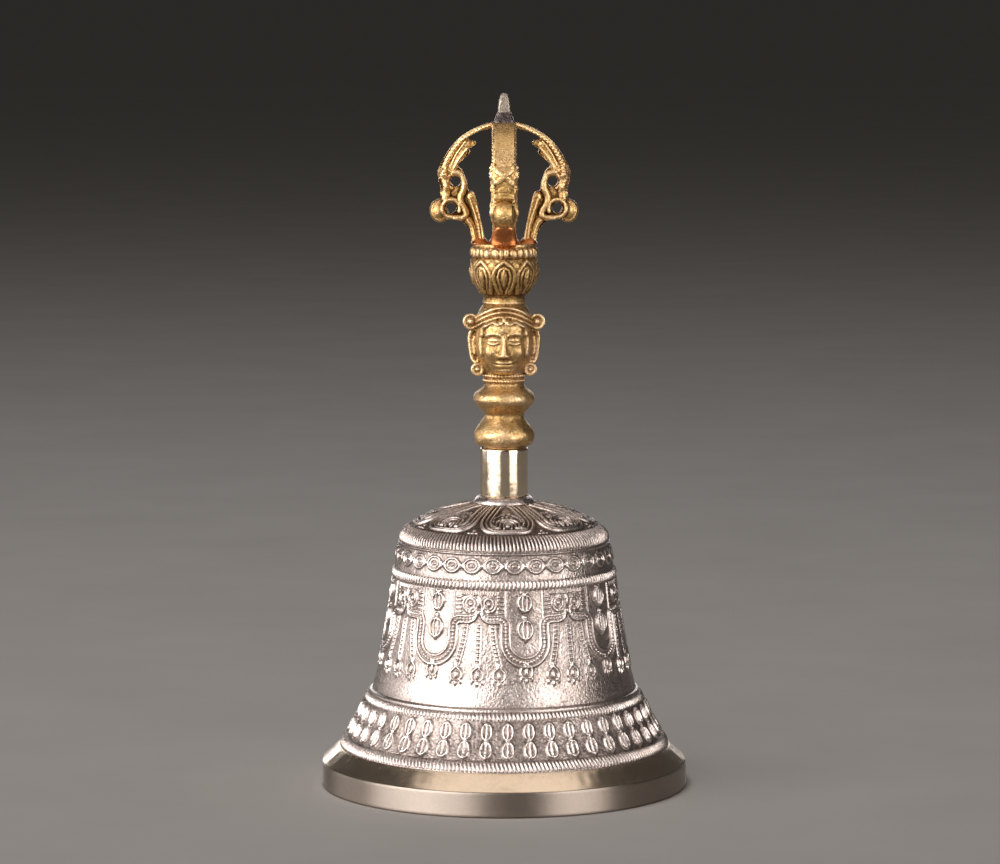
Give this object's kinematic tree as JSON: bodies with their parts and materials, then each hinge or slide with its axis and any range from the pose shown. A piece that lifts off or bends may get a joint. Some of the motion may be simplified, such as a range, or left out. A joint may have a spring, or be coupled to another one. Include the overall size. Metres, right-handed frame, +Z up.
{
  "type": "tibetan hand bell",
  "caption": "Hand bell of flared cast metal with a hanging clapper, a cast grip with a head, lotus cup and bead ring, and a half-vajra crown of curved prongs.",
  "frame": {"origin": "centre of the mouth on the plane that the bell stands on", "axes": "+Z up through the vajra tip, -Y the way the face on the grip looks, +X to the right of someone facing it"},
  "size_m": [0.09, 0.09, 0.17],
  "materials": {
    "antique_silver": "cast bronze with a silver-grey antique patina",
    "pale_polish": "polished pale brass",
    "cast_brass": "antiqued cast brass",
    "braze": "glossy copper braze",
    "steel": "plain drawn steel",
    "iron": "blackened iron"
  },
  "bodies": {
    "bell": {"bell_shell": "antique_silver", "crown_collar": "antique_silver", "neck_sleeve": "pale_polish", "cast_grip": "cast_brass", "middle_prong": "cast_brass", "crown_braze": "braze", "tie_rod": "steel", "crown_washer": "steel", "crown_nut": "steel", "prong_right": "cast_brass", "foot_braze_right": "braze", "prong_back": "cast_brass", "foot_braze_back": "braze", "prong_left": "cast_brass", "foot_braze_left": "braze", "prong_front": "cast_brass", "foot_braze_front": "braze"},
    "link": {"clapper_link": "steel"},
    "clapper": {"clapper_rod": "steel", "clapper_bob": "iron"}
  },
  "joints": [
    {"name": "link_swing", "type": "hinge", "parent": "bell", "child": "link", "pos_m": [0, 0, 0.0536], "axis": [1, 0, 0], "range_deg": [-10, 10]},
    {"name": "clapper_swing", "type": "hinge", "parent": "link", "child": "clapper", "pos_m": [0, 0, 0.0479], "axis": [0, 1, 0], "range_deg": [-36, 36]}
  ]
}
